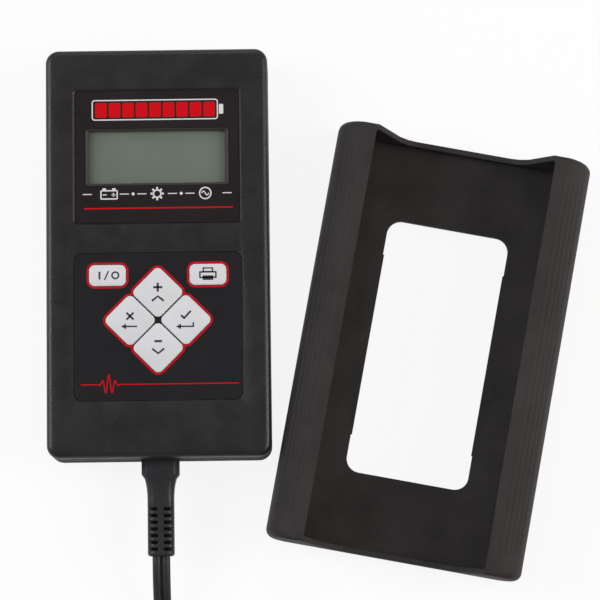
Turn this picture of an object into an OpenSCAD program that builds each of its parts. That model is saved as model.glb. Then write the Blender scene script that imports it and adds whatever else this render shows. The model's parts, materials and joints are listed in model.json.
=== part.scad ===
// Handheld battery tester with its rubber boot taken off and its clamp leads put away.
// The tester lies on its back: +X right, +Y towards the display end, +Z out of the face.
// The origin is the centre of the back face. All sizes are in millimetres.

/* [Case] */
// Width of the case
body_w = 102; // [99:0.5:112]
// Length of the case, without the strain relief
body_l = 188; // [184:1:210]
// Thickness of the case
body_h = 32; // [31:0.5:38]
// Wall of both case halves
wall = 2.2; // [1.8:0.1:2.6]
// Plan radius of the four corners
corner_r = 6; // [4:0.5:8]
// Rounding of the face and back edges
edge_r = 3; // [2:0.25:3.5]
// Thickness of the face and of the back
face_t = 2.4; // [2:0.1:2.8]
// Height of the seam between the two halves
split_z = 16; // [15:0.5:18]

/* [Display] */
// Width of the recessed display panel
panel_w = 75.2; // [73:0.1:80]
// Length of the recessed display panel
panel_l = 61.5; // [58:0.5:64]
// Distance of the display panel's centre from the case's centre
panel_y = 44; // [42:0.5:47]
// Depth of the display recess
recess_d = 1; // [0.8:0.1:1.2]
// Width of the window in the panel
window_w = 66; // [65:0.1:68]
// Length of the window in the panel
window_l = 26.6; // [26:0.1:29]
// Width of the display glass that shows
view_w = 62.2; // [60:0.1:63]
// Length of the display glass that shows
view_l = 24; // [23:0.1:25]
// Width of the display's circuit board
lcd_w = 87; // [80:0.5:88]
// Length of the display's circuit board
lcd_l = 58; // [54:0.5:60]

/* [Keypad] */
// Width of the keypad panel
pad_w = 76.6; // [75:0.1:80]
// Length of the keypad panel
pad_l = 67.6; // [66:0.1:72]
// Distance of the keypad panel's centre below the case's centre
pad_y = 34.3; // [33.5:0.1:36]
// Plan radius of the keypad panel
pad_r = 4; // [2:0.25:5]
// Side of each square key of the diamond
diamond_key = 17.3; // [16:0.1:17.4]
// Distance of each square key's centre from the diamond's centre
diamond_pitch = 12.7; // [12.6:0.05:13]
// Distance of the diamond's centre below the case's centre
diamond_y = 31.5; // [31:0.1:33]
// Width of the two oblong keys
oblong_w = 16.8; // [14:0.1:17.5]
// Length of the two oblong keys
oblong_l = 9.6; // [8.8:0.1:10.5]
// Distance of each oblong key from the centre line
oblong_x = 22.9; // [22:0.1:24]
// Distance of the oblong keys below the case's centre
oblong_y = 10.8; // [10:0.1:11.5]
// How far a key is pressed in
key_travel = 0.35; // [0.2:0.05:0.4]

/* [Boot] */
// Thickness of the boot's floor
boot_floor = 3; // [2.5:0.25:4]
// Thickness of the boot's lip over the tester's face
boot_lip_t = 2.8; // [2:0.2:4]
// How far each lip reaches in over the tester
boot_lip = 10; // [6:0.5:12]
// Thickness of the bolster beside the tester
boot_side = 7.5; // [5:0.25:9]
// Thickness of the two end walls
boot_end = 2.4; // [2.2:0.1:4]
// Width of the hole in the boot's floor
boot_hole_w = 57; // [40:1:64]
// Length of the hole in the boot's floor
boot_hole_l = 119; // [90:1:130]
// Height of the end walls at their middle, above the boot's floor
boot_notch_z = 5; // [3:0.5:10]
// Space between the tester's lower corner and the boot beside it
boot_space = 3.2; // [2:0.2:10]
// Where the boot's centre lies below the tester's centre
boot_y = 46; // [40:1:48]
// Turn of the boot on the table, clockwise
boot_turn = 11; // [8:0.5:12]

/* [Cable and clamps] */
// Width of the twin cable
cable_w = 8.4; // [8:0.1:9]
// Thickness of the twin cable, and diameter of each lead
cable_t = 4.2; // [4:0.1:4.4]
// Length of the strain relief outside the case
relief_l = 44; // [40:0.2:48]
// Length of a clamp's handle behind its pivot
grip_l = 58; // [50:1:62]
// Length of a clamp's jaw in front of its pivot
jaw_l = 45; // [40:1:48]
// Width of a clamp across its pivot pin
grip_w = 21; // [20:0.5:24]
// Diameter of a clamp's pivot pin
pin_d = 4; // [3:0.25:4.5]

/* [Hidden] */
$fn = 48;
eps = 0.01;

// ---- clearances
slip = 0.1;          // between pieces that drop into each other
film_gap = 0.2;      // round a film in its recess
key_gap = 0.15;      // round a key in its opening
run = 0.05;          // radial clearance of a turning pin
screw_gap = 0.05;    // between a screw's shank and its pilot hole
boot_gap = 0.4;      // between the tester and the boot on each side

// ---- heights inside the tester
face_z = body_h - face_t;
recess_z = body_h - recess_d;
pocket_z = body_h - 1.8;
pocket_floor = 2;
lens_t = 0.8;
lens_z = face_z - slip - lens_t;
frame_top = lens_z - slip;
frame_h = 5.8;
lcd_t = 1.6;
lcd_z = frame_top - frame_h - lcd_t;
glass_t = 2.6;
board_t = 1.6;
board_z = 10;
board_top = board_z + board_t;

// ---- sizes that several pieces share
label_t = 0.35;
circuit_t = 0.3;
spacer_t = 1;
overlay_t = 0.55;
circuit_top = pocket_z + circuit_t;
spacer_top = circuit_top + spacer_t;
overlay_top = spacer_top + overlay_t;
dome_h = 0.42;
key_top = overlay_top + 0.4;
key_r = 2.6;
post_r = 4.2;
post_x = body_w / 2 - wall - post_r + 0.4;
post_y = body_l / 2 - wall - post_r + 0.4;
screw_r = 1.5;
screw_head_r = 2.9;
screw_head_t = 2;
counterbore_z = 5;
screw_l = 18;
board_side = 9.8;
board_end = 14.8;
board_w = body_w - 2 * wall - 2 * board_side;
board_l = body_l - 2 * wall - 2 * board_end;
board_y = 2;
board_post = [board_w / 2 - 4, board_l / 2 - 5];
small_r = 1.25;
small_head_r = 2.4;
small_head_t = 1.5;
lcd_post = [lcd_w / 2 - 3.2, lcd_l / 2 - 3.2];
neck_w = 13;
neck_h = 8.4;
cable_z = split_z;
tail_w = 12;
tail_t = 0.3;
tail_y = pad_l / 2 - pad_y - 1.6;
ir_w = 20;
ir_h = 7;
ir_z = (split_z + face_z) / 2;
south = -body_l / 2;
north = body_l / 2;

// ---- where the keys are, in the order on/off, print, up, down, no, yes
key_at = [
    [-oblong_x, -oblong_y], [oblong_x, -oblong_y],
    [0, -diamond_y + diamond_pitch], [0, -diamond_y - diamond_pitch],
    [-diamond_pitch, -diamond_y], [diamond_pitch, -diamond_y]
];

// ================================================================ shared forms
module plan_rect(w, l, r) {
    square([w - 2 * r, l], center = true);
    square([w, l - 2 * r], center = true);
    for (x = [-1, 1], y = [-1, 1])
        translate([x * (w / 2 - r), y * (l / 2 - r)]) circle(r);
}

module slab(w, l, r, z0, z1) {
    translate([0, 0, z0]) linear_extrude(z1 - z0) plan_rect(w, l, r);
}

// A corner post with a quarter-round upper edge.
module round_post(r, e, h) {
    rotate_extrude($fn = 32) {
        square([r - e, h]);
        square([r, h - e]);
        intersection() {
            translate([r - e, h - e]) circle(e, $fn = 32);
            square([r, h]);
        }
    }
}

// A block whose upper edge is rounded all round.
module soft_block(w, l, r, e, h) {
    hull() for (x = [-1, 1], y = [-1, 1])
        translate([x * (w / 2 - r), y * (l / 2 - r), 0]) round_post(r, e, h);
}

module key_plan(i, grow) {
    if (i < 2) plan_rect(oblong_w + 2 * grow, oblong_l + 2 * grow, key_r);
    else rotate(45) plan_rect(diamond_key + 2 * grow, diamond_key + 2 * grow, key_r);
}

module at_key(i) {
    translate(key_at[i]) children();
}

module at_four(p) {
    for (x = [-1, 1], y = [-1, 1]) translate([x * p[0], y * p[1], 0]) children();
}

// ================================================================ case
module relief_passage() {
    translate([0, south, cable_z])
        cube([neck_w + 2 * slip, 4 * wall, neck_h + 2 * slip], center = true);
}

module front_case() color([0.19, 0.18, 0.18]) difference() {
    union() {
        difference() {
            translate([0, 0, split_z])
                soft_block(body_w, body_l, corner_r, edge_r, body_h - split_z);
            slab(body_w - 2 * wall, body_l - 2 * wall, corner_r - wall, split_z - eps, face_z);
        }
        translate([0, -pad_y, 0])
            slab(pad_w + 4, pad_l + 4, pad_r, pocket_z - pocket_floor, face_z + eps);
        at_four([post_x, post_y]) translate([0, 0, split_z]) cylinder(face_z - split_z + eps, r = post_r);
        translate([0, panel_y, 0]) at_four(lcd_post)
            translate([0, 0, lcd_z + lcd_t]) cylinder(face_z - lcd_z - lcd_t + eps, r = 2.6);
    }
    // recess with a bevelled edge, and the opening under it
    translate([0, panel_y, 0]) {
        slab(panel_w, panel_l, 1.6, recess_z, body_h + eps);
        hull() {
            slab(panel_w, panel_l, 1.6, recess_z + 0.2, recess_z + 0.21);
            slab(panel_w + 1.8, panel_l + 1.8, 2.4, body_h, body_h + 0.01);
        }
        slab(window_w, window_l, 1.5, face_z - eps, body_h);
    }
    // pocket for the keypad and the slot for its tail
    translate([0, -pad_y, 0])
        slab(pad_w + 2 * film_gap, pad_l + 2 * film_gap, pad_r, pocket_z, body_h + eps);
    translate([-tail_w / 2 - 0.5, tail_y - 0.5, split_z])
        cube([tail_w + 1, tail_t + 1, pocket_z - split_z + eps]);
    // pilot holes
    at_four([post_x, post_y]) translate([0, 0, split_z - eps]) cylinder(9, r = screw_r + screw_gap);
    translate([0, panel_y, 0]) at_four(lcd_post)
        translate([0, 0, lcd_z + lcd_t - eps]) cylinder(5, r = small_r + screw_gap);
    // rabbet for the tongue of the other half
    slab(body_w - wall, body_l - wall, corner_r - wall / 2, split_z - eps, split_z + 1.6);
    relief_passage();
    translate([0, north, ir_z]) cube([ir_w, 4 * wall, ir_h], center = true);
}

module rear_case() color([0.19, 0.18, 0.18]) difference() {
    union() {
        difference() {
            translate([0, 0, split_z]) mirror([0, 0, 1])
                soft_block(body_w, body_l, corner_r, edge_r, split_z);
            slab(body_w - 2 * wall, body_l - 2 * wall, corner_r - wall, face_t, split_z + eps);
        }
        difference() {
            slab(body_w - wall - 2 * slip, body_l - wall - 2 * slip, corner_r - wall / 2,
                split_z - eps, split_z + 1.4);
            slab(body_w - 2 * wall, body_l - 2 * wall, corner_r - wall, 0, body_h);
        }
        at_four([post_x, post_y]) translate([0, 0, face_t - eps]) cylinder(split_z - face_t, r = post_r);
        translate([0, board_y, face_t - eps]) at_four(board_post) cylinder(board_z - face_t + eps, r = 3);
    }
    at_four([post_x, post_y]) {
        translate([0, 0, -eps]) cylinder(counterbore_z + eps, r = screw_head_r + slip);
        cylinder(split_z + 2, r = screw_r + 0.2);
    }
    translate([0, board_y, board_z - 6]) at_four(board_post) cylinder(6 + eps, r = small_r + screw_gap);
    relief_passage();
    // clearance round the front half's posts at the seam
    at_four([post_x, post_y]) translate([0, 0, split_z]) cylinder(2, r = post_r + slip);
}

module screw(r, l, head_r, head_t) {
    difference() {
        union() {
            translate([0, 0, -eps]) cylinder(l + eps, r = r);
            translate([0, 0, -head_t]) cylinder(head_t, r = head_r);
        }
        translate([0, 0, -head_t - eps]) cylinder(head_t * 0.6, r = head_r * 0.45, $fn = 6);
    }
}

module case_screws() color("silver")
    at_four([post_x, post_y]) translate([0, 0, counterbore_z]) screw(screw_r, screw_l, screw_head_r, screw_head_t);

module ir_window() color([0.25, 0.05, 0.08]) translate([0, north, ir_z]) {
    translate([-ir_w / 2 + slip, -wall - eps, -ir_h / 2 + slip])
        cube([ir_w - 2 * slip, wall - 0.2, ir_h - 2 * slip]);
    translate([-ir_w / 2 - 1.5, -wall - 1, -ir_h / 2 - 1]) cube([ir_w + 3, 1, ir_h + 2]);
}

// ================================================================ display
module display_label() color([0.14, 0.13, 0.13]) translate([0, panel_y, recess_z]) difference() {
    linear_extrude(label_t) plan_rect(panel_w - 2 * film_gap, panel_l - 2 * film_gap, 1.4);
    translate([0, 0, -eps]) linear_extrude(label_t + 2 * eps) plan_rect(window_w, window_l, 1.5);
}

module display_bezel() color([0.1, 0.1, 0.1]) translate([0, panel_y, 0]) difference() {
    slab(window_w - 2 * slip, window_l - 2 * slip, 1.4, face_z, recess_z + 0.1);
    hull() {
        slab(view_w, view_l, 0.5, face_z - eps, face_z + 0.05);
        slab(window_w - 1, window_l - 1, 1, recess_z + 0.1, recess_z + 0.12);
    }
}

module display_window() color([0.8, 0.85, 0.85, 0.4])
    translate([0, panel_y, 0]) slab(window_w + 3, window_l + 3, 1, lens_z, lens_z + lens_t);

module lcd_frame() color([0.12, 0.12, 0.13]) translate([0, panel_y, 0]) difference() {
    slab(view_w + 12, view_l + 12, 1, lcd_z + lcd_t, frame_top);
    slab(view_w + 9, view_l + 9, 0.5, lcd_z + lcd_t - eps, frame_top - 0.8);
    slab(view_w + 1.2, view_l + 1.2, 0.4, frame_top - 1, frame_top + eps);
}

module lcd_glass() color([0.44, 0.48, 0.42]) translate([0, panel_y, 0])
    slab(view_w + 8.6, view_l + 8.6, 0.4, frame_top - 0.8 - glass_t, frame_top - 0.8);

module lcd_backlight() color([0.9, 0.92, 0.85]) translate([0, panel_y, 0])
    slab(view_w + 8.6, view_l + 8.6, 0.4, lcd_z + lcd_t, frame_top - 0.8 - glass_t);

module lcd_board() color([0.06, 0.3, 0.15]) translate([0, panel_y, lcd_z]) difference() {
    linear_extrude(lcd_t) square([lcd_w, lcd_l], center = true);
    at_four(lcd_post) translate([0, 0, -eps]) cylinder(lcd_t + 2 * eps, r = small_r + 0.2);
}

// ================================================================ keypad
// The printed circuit film with its tail, and the spacer laminated on it.
module keypad_circuit() color([0.75, 0.6, 0.25]) {
    translate([0, -pad_y, 0]) slab(pad_w, pad_l, pad_r, pocket_z, circuit_top);
    translate([-tail_w / 2, tail_y, board_top + 2]) cube([tail_w, tail_t, pocket_z - board_top - 2 + eps]);
    keypad_spacer();
}

module keypad_spacer() difference() {
    translate([0, -pad_y, 0]) slab(pad_w, pad_l, pad_r, circuit_top - eps, spacer_top);
    for (i = [0 : 1]) at_key(i) translate([0, 0, circuit_top])
        linear_extrude(spacer_t + eps) key_plan(i, key_gap);
    translate([0, -diamond_y, circuit_top]) linear_extrude(spacer_t + eps) rotate(45)
        plan_rect(diamond_key + diamond_pitch * sqrt(2) + 2 * key_gap,
            diamond_key + diamond_pitch * sqrt(2) + 2 * key_gap, key_r);
}

module keypad_overlay() color([0.14, 0.13, 0.13]) difference() {
    translate([0, -pad_y, 0]) slab(pad_w, pad_l, pad_r, spacer_top, overlay_top);
    for (i = [0 : 5]) at_key(i) translate([0, 0, spacer_top - eps])
        linear_extrude(overlay_t + 2 * eps) key_plan(i, key_gap);
}

// One key: a cap with a stepped crown, and the nib that presses its dome.
module key(i) color([0.75, 0.75, 0.77]) at_key(i) {
    translate([0, 0, circuit_top + dome_h + 0.15]) linear_extrude(key_top - 0.15 - circuit_top - dome_h - 0.15)
        key_plan(i, 0);
    translate([0, 0, key_top - 0.15 - eps]) linear_extrude(0.15 + eps) key_plan(i, -0.35);
    translate([0, 0, circuit_top + dome_h + 0.03]) cylinder(0.2, r = 1.5);
}

// The thin metal dome under a key, which gives the click.
module dome(i) color([0.8, 0.8, 0.8]) at_key(i) translate([0, 0, circuit_top]) rotate_extrude()
    polygon([[0, dome_h], [1.2, dome_h], [3.9, 0], [3.4, 0], [1, dome_h - 0.12], [0, dome_h - 0.12]]);

module key_on_off() key(0);
module key_print() key(1);
module key_up() key(2);
module key_down() key(3);
module key_no() key(4);
module key_yes() key(5);
module dome_on_off() dome(0);
module dome_print() dome(1);
module dome_up() dome(2);
module dome_down() dome(3);
module dome_no() dome(4);
module dome_yes() dome(5);

// ================================================================ electronics
// Where the parts stand on the main board, from the case's centre.
chip_list = [[-14, -24, 14, 14], [-30, -8, 8, 10], [8, -10, 10, 7], [-14, 26, 20, 12], [16, 34, 9, 9]];
board_west = -board_w / 2;
board_south = board_y - board_l / 2;
board_north = board_y + board_l / 2;
board_east = board_w / 2;
// Capacitors: how far in from the board's west edge and from its end, their radius and height.
south_caps = [[9, 23, 5, 13], [22, 23, 5, 13]];
north_caps = [[9, 23, 3, 6]];
cap_list = concat([for (c = south_caps) [board_west + c[0], board_south + c[1], c[2], c[3]]],
    [for (c = north_caps) [board_west + c[0], board_north - c[1], c[2], c[3]]]);
wire_pitch = 5;
wire_r = 1.4;

module main_board() color([0.05, 0.3, 0.14]) translate([0, board_y, board_z]) difference() {
    linear_extrude(board_t) square([board_w, board_l], center = true);
    at_four(board_post) translate([0, 0, -eps]) cylinder(board_t + 2 * eps, r = small_r + 0.2);
}

module board_screws() color("silver") {
    translate([0, board_y, board_top]) at_four(board_post)
        mirror([0, 0, 1]) screw(small_r, board_t + 4, small_head_r, small_head_t);
    translate([0, panel_y, lcd_z]) at_four(lcd_post)
        screw(small_r, lcd_t + 4, small_head_r, small_head_t);
}

module chips() color([0.08, 0.08, 0.09]) for (c = chip_list)
    translate([c[0] - c[2] / 2, c[1] - c[3] / 2, board_top]) {
        cube([c[2], c[3], 1.6]);
        for (k = [1 : floor(c[3] / 1.6) - 1], s = [0, 1])
            translate([s * c[2] - 0.9 + s * 0.8, k * 1.6 - 0.3, 0]) cube([1, 0.6, 0.5]);
    }

module capacitors() color([0.12, 0.15, 0.35]) for (c = cap_list) translate([c[0], c[1], board_top])
    rotate_extrude() polygon([[0, 0], [c[2], 0], [c[2], 1.2], [c[2] - 0.5, 1.8], [c[2], 2.4],
        [c[2], c[3] - 0.6], [c[2] - 0.6, c[3]], [0, c[3]]]);

// A wire-wound load resistor on two end caps, standing clear of the board.
load_l = 30;
load_r = 4;
load_up = 6;
sink_in = [19, 37];
load_off = [2, 12];
sink_at = [board_east - sink_in[0], board_south + sink_in[1]];
load_at = sink_at - load_off;
module load_resistor() color([0.75, 0.72, 0.65])
    translate([load_at[0], load_at[1], board_top + load_up]) rotate([0, 90, 0]) {
        cylinder(load_l, r = load_r, center = true);
        for (s = [-1, 1]) translate([0, 0, s * (load_l / 2 - 1)]) {
            cylinder(4, r = load_r + 0.6, center = true);
            rotate([0, 90, 0]) cylinder(load_up, r = 0.6);
        }
        for (k = [-5 : 5]) translate([0, 0, k * load_l / 15])
            rotate_extrude() translate([load_r - 0.1, 0]) circle(0.7, $fn = 16);
    }

// The heat sink's back plate and fins, as tall as the space under the keypad allows.
sink_h = pocket_z - pocket_floor - board_top - 2.6;
sink_l = 26;
sink_plate = 3;
fin_l = 12;
fin_t = 1.6;
fin_count = 7;
module heat_sink() color([0.75, 0.76, 0.78]) translate([sink_at[0], sink_at[1], board_top]) {
    cube([sink_plate, sink_l, sink_h]);
    for (k = [0 : fin_count - 1])
        translate([sink_plate - 0.5, k * (sink_l - fin_t) / (fin_count - 1), 0]) cube([fin_l, fin_t, sink_h]);
}

// Two transistors held flat against the heat sink's back plate.
transistor = [4.5, 10, 9];
leg_h = 3;
module power_transistors() color([0.1, 0.1, 0.1])
    for (s = [0, 1]) translate([sink_at[0], sink_at[1] + 2 + s * (sink_l - 4 - transistor[1]), board_top]) {
        translate([-transistor[0], 0, leg_h]) cube(transistor);
        translate([-1.3, 0, leg_h + transistor[2] - eps]) cube([1.3, transistor[1], 1.8]);
        for (k = [1 : 3]) translate([-3, k * transistor[1] / 4 - 0.4, 0]) cube([0.6, 0.8, leg_h + eps]);
    }

buzzer_in = 11;
buzzer_at = [board_west + buzzer_in, 4];
module buzzer() color([0.08, 0.08, 0.08]) translate([buzzer_at[0], buzzer_at[1], board_top]) difference() {
    cylinder(9, r = 6);
    translate([0, 0, 8]) cylinder(2, r = 1.2);
}

// The emitter behind the window, its legs bent down to the board.
ir_r = 2.5;
ir_l = 5;
ir_back = 3.2;
ir_leg = 0.6;
module ir_emitter() color([0.2, 0.1, 0.25]) translate([0, north - wall - 1 - ir_back, 0]) {
    translate([0, 0, ir_z]) rotate([90, 0, 0]) {
        cylinder(ir_l, r = ir_r);
        sphere(ir_r, $fn = 32);
        translate([0, 0, ir_l - 1]) cylinder(1, r = ir_r + 0.5);
    }
    for (s = [-1, 1]) translate([s * ir_r / 2 - ir_leg / 2, -ir_l - 3, 0]) {
        translate([0, 0, ir_z - ir_leg / 2]) cube([ir_leg, 3.2, ir_leg]);
        translate([0, 0, board_top]) cube([ir_leg, ir_leg, ir_z - board_top]);
    }
}

// Sockets for the keypad's tail and the display's ribbon, and the input terminal.
tail_plug_h = 4;
ribbon_w = 28;
ribbon_t = 0.8;
ribbon_plug = [ribbon_w + 4, 5, 3.5];
ribbon_in = 13;
ribbon_y = board_north - ribbon_in;
terminal = [2 * wire_pitch + 3, 9, 9];
terminal_in = 3;
terminal_y = board_south + terminal_in;
wire_z = board_top + 3.4;
module board_connectors() color([0.9, 0.88, 0.8]) {
    difference() {
        translate([-tail_w / 2 - 2, tail_y - 2, board_top]) cube([tail_w + 4, 4 + tail_t, tail_plug_h]);
        translate([-tail_w / 2 - 0.15, tail_y - 0.1, board_top + 1.9])
            cube([tail_w + 0.3, tail_t + 0.2, tail_plug_h]);
    }
    translate([-ribbon_plug[0] / 2, ribbon_y, board_top]) cube(ribbon_plug);
    difference() {
        translate([-terminal[0] / 2, terminal_y, board_top]) cube(terminal);
        for (s = [-1, 1]) translate([s * wire_pitch / 2, terminal_y, 0]) {
            translate([0, -eps, wire_z]) rotate([-90, 0, 0]) cylinder(6, r = 1.6);
            translate([0, 6, board_top + 6]) cylinder(4, r = 1.7);
        }
    }
}

// A flat ribbon between the two boards.
module display_cable() color([0.6, 0.6, 0.62]) translate([-ribbon_w / 2, ribbon_y + 2, board_top + ribbon_plug[2]])
    cube([ribbon_w, ribbon_t, lcd_z - board_top - ribbon_plug[2]]);

// Two insulated wires from the cable's end into the terminal.
module input_wires() color([0.6, 0.1, 0.1]) for (s = [-1, 1])
    hull() {
        translate([s * cable_t / 2, south + wall + 2.6, cable_z])
            rotate([90, 0, 0]) cylinder(0.3, r = wire_r + 0.1, $fn = 24);
        translate([s * wire_pitch / 2, terminal_y + 4, wire_z])
            rotate([90, 0, 0]) cylinder(0.3, r = wire_r, $fn = 24);
    }

// ================================================================ strain relief
head_w = 17.2;
head_l = 7;
head_h = 12;
head_cut = 2.4;
waist_w = 12.2;
waist_h = 8.8;
waist_r = 3.4;
waist_y = 18;
rib_pitch = 3.05;
rib_count = 7;
rib_start = 22.7;
spine_w = 2.7;
sleeve_h = cable_t + 1.4;
relief_end = south - relief_l;

// A ring of points across the cable; its corners go from cut nearly straight (bow 0.15) to round (bow 1).
function relief_ring(y, w, h, r, bow) = [for (c = [0 : 3], k = [0 : 4])
    let (a = 90 * c, t = k / 4,
        cut = [cos(a), sin(a)] * (1 - t) + [cos(a + 90), sin(a + 90)] * t,
        at = [cos(a + 90 * t), sin(a + 90 * t)] * bow + cut * (1 - bow))
    [(c % 3 == 0 ? 1 : -1) * (w / 2 - r) + r * at[0], y, (c < 2 ? 1 : -1) * (h / 2 - r) + r * at[1]]];

// Flat sides along the head, a hollow taper, the waist, and an eased end.
relief_steps = concat([[0, head_w, head_h, head_cut, 0.15]],
    [for (k = [0 : 6]) let (t = k / 6, s = 1 - sqrt(1 - pow(1 - t, 2)))
        [-head_l - (waist_y - head_l) * t, waist_w + (head_w - waist_w) * s,
        head_h + (waist_h - head_h) * t, head_cut + (waist_r - head_cut) * t, 0.15 + 0.85 * t]],
    [[-relief_l + 0.8, waist_w, waist_h, waist_r, 1], [-relief_l, waist_w - 1.4, waist_h - 1.4, waist_r - 0.7, 1]]);

module relief_body() skin([for (at = relief_steps) each relief_ring(at[0], at[1], at[2], at[3], at[4])], 20);

module strain_relief() color([0.2, 0.19, 0.19]) translate([0, south, cable_z]) difference() {
    union() {
        relief_body();
        translate([-neck_w / 2, -2, -neck_h / 2]) cube([neck_w, wall + 2 + eps + slip, neck_h]);
        translate([-neck_w / 2 - 2, wall + slip, -neck_h / 2 - 1.5]) cube([neck_w + 4, 1.8, neck_h + 3]);
    }
    // passage for the cable
    translate([-cable_w / 2 - 0.05, -relief_l - 1, -cable_t / 2 - 0.05])
        cube([cable_w + 0.1, relief_l + wall + 4, cable_t + 0.1]);
    // the cuts that let it flex, above and below, on both sides of the spine
    for (k = [0 : rib_count - 1], x = [-1, 1], z = [-1, 1])
        translate([x * (spine_w + waist_w) / 2, -rib_start - k * rib_pitch, z * (sleeve_h + waist_h) / 2])
            cube([waist_w, rib_pitch / 2, waist_h], center = true);
}

// ================================================================ cable and leads
// Points of the free stretches, chosen by hand, and the coil that takes up the rest.
coil_r = 46;
coil_half = 8.9;
coil_at = [52.8, -236];
coil_h = cable_w + 0.3;
cable_in = [[0, south + wall + 2.2, cable_z], [0, relief_end, cable_z], [0, -143, 15.6], [0, -150, 13.6],
    [0, -157, 10.2], [0, -164, 6.9], [0, -172, 4.7], [0, -182, 4.3], [0, -196, 4.4], [0, -212, 4.4],
    [0, -226, 4.4]];
cable_out = [[30.3, -268.1, 11.3], [42, -276.3, 11.3], [54, -284.7, 11.3], [64, -291.3, 10.6],
    [73, -296.3, 7.8], [81, -299.2, 5], [88, -300, 4.1]];
yoke_l = 26;
lead_start = [112, -300];
red_route = [[112, -302.2, 3.6], [124, -304.5, 2.4], [140, -307, 2.2], [165, -310, 2.2], [195, -312, 2.2],
    [222, -311.5, 2.2], [245, -305.5, 2.2], [258, -292, 2.2], [263, -273, 2.2], [263, -254, 2.3],
    [259, -238, 3.4], [250, -226, 6], [240, -220, 9], [230, -218.3, 10.5], [221, -217.6, 10.5],
    [209, -215.8, 10.5], [199, -212.7, 10.5], [189, -209.2, 10.5], [182.2, -207.1, 10.5]];
black_route = [[112, -297.8, 3.6], [124, -298.3, 2.4], [140, -300, 2.2], [165, -302.5, 2.2],
    [195, -305, 2.2], [213, -305, 2.2], [229, -302.5, 2.2], [241, -296.5, 2.4], [246.5, -287.5, 3.8],
    [244.5, -279.5, 6.2], [238, -274.5, 9], [230, -272.3, 10.5], [221, -271.6, 10.5], [209, -269.8, 10.5],
    [199, -266.7, 10.5], [189, -263.2, 10.5], [182.2, -261.1, 10.5]];

function unit(v) = v / norm(v);
function heading(p, i) = unit(p[min(i + 1, len(p) - 1)] - p[max(i - 1, 0)]);
function level_side(h) = unit(cross([0, 0, 1], h));

// A closed skin over rings of points that all have the same number of sides.
module skin(points, sides) {
    n = len(points) / sides;
    walls = [for (i = [0 : n - 2], k = [0 : sides - 1])
        [i * sides + k, (i + 1) * sides + k, (i + 1) * sides + (k + 1) % sides, i * sides + (k + 1) % sides]];
    caps = [[for (k = [0 : sides - 1]) k], [for (k = [sides - 1 : -1 : 0]) (n - 1) * sides + k]];
    polyhedron(points, concat(walls, caps), convexity = 4);
}

// A tube along a route, its section an oval of width w and thickness t.
module tube(route, w, t, sides) skin([for (i = [0 : len(route) - 1])
    let (h = heading(route, i), s = level_side(h), u = cross(h, s))
    for (k = [0 : sides - 1]) let (a = 360 * k / sides)
        route[i] + s * (w / 2 * cos(a)) + u * (t / 2 * sin(a))], sides);

module main_cable() color([0.15, 0.15, 0.15]) tube(cable_in, cable_w - 0.2, cable_t - 0.2, 10);

module cable_coil() color([0.15, 0.15, 0.15]) translate([coil_at[0], coil_at[1], 0]) rotate_extrude($fn = 64)
    translate([coil_r - coil_half, 0.05]) square([2 * coil_half, coil_h]);

module cable_end() color([0.15, 0.15, 0.15]) tube(cable_out, cable_w - 0.2, cable_t - 0.2, 10);

module cable_tie() color([0.1, 0.1, 0.1]) translate([coil_at[0] + coil_r, coil_at[1], 0]) difference() {
    translate([-coil_half - 1.2, -2, 0]) cube([2 * coil_half + 2.4, 4, coil_h + 1.3]);
    translate([-coil_half - 0.2, -3, -1]) cube([2 * coil_half + 0.4, 6, coil_h + 1.25]);
}

// The moulded joint where the twin cable parts into two leads.
module lead_yoke() color([0.15, 0.15, 0.15]) translate([lead_start[0] - yoke_l, lead_start[1], 4]) hull() {
    translate([0, 0, 0.2]) rotate([0, 90, 0]) cylinder(1, r = 3.8, $fn = 32);
    translate([6, -6, -4]) cube([16, 12, 8]);
    for (s = [-1, 1]) translate([yoke_l - 1, s * 2.2, -0.4]) rotate([0, 90, 0]) cylinder(1, r = 3.2, $fn = 32);
}

module red_lead() color([0.7, 0.05, 0.08]) tube(red_route, cable_t - 0.2, cable_t - 0.2, 8);

module black_lead() color([0.15, 0.15, 0.15]) tube(black_route, cable_t - 0.2, cable_t - 0.2, 8);

// ================================================================ clamps
clamp_x = 163;
red_y = -198;
black_y = -252;
cheek_t = 2.5;
lever_z0 = cheek_t + 0.4;
ear_r = 7;
skin_t = 3;
tooth = 3;
grip_rise = 13;
wire_d = 1.6;
spring_r = 4.6;
spring_pitch = 1.75;
leg_l = 18.7;
leg_turn = 70;
crimp_r = 2.9;

// The back of a clamp half, from the jaw's tip to the end of the handle.
function smooth(t) = t * t * (3 - 2 * t);
function clamp_back(d) = concat(
    [for (k = [0 : 6]) let (a = 15 * k) [jaw_l - 5 + (5 - d / 2) * cos(a), 2 + (5.4 - d) * sin(a)]],
    [for (k = [1 : 4]) let (t = k / 4) [(jaw_l - 5) * (1 - t), 7.4 - d + 4.6 * smooth(t)]],
    [for (k = [1 : 10]) let (t = k / 10) [-grip_l * t, 12 - d + grip_rise * smooth(t)]]);

// A channel of skin and two cheeks, open towards the other half.
module clamp_half(z0, z1) {
    difference() {
        union() {
            translate([0, 0, z0]) linear_extrude(z1 - z0) difference() {
                polygon(concat(clamp_back(0), [for (k = [len(clamp_back(0)) - 1 : -1 : 0]) clamp_back(skin_t)[k]]));
                circle(ear_r + 1);
            }
            for (z = [z0, z1 - cheek_t]) translate([0, 0, z]) linear_extrude(cheek_t) {
                polygon(concat(clamp_back(0), [[-grip_l, 12 + grip_rise - 5], [-grip_l * 0.5, 8], [-8, 1.7],
                    [jaw_l - 1, 1.7]]));
                circle(ear_r);
            }
        }
        translate([0, 0, -1]) cylinder(grip_w + 2, r = pin_d / 2 + run);
    }
}

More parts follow.
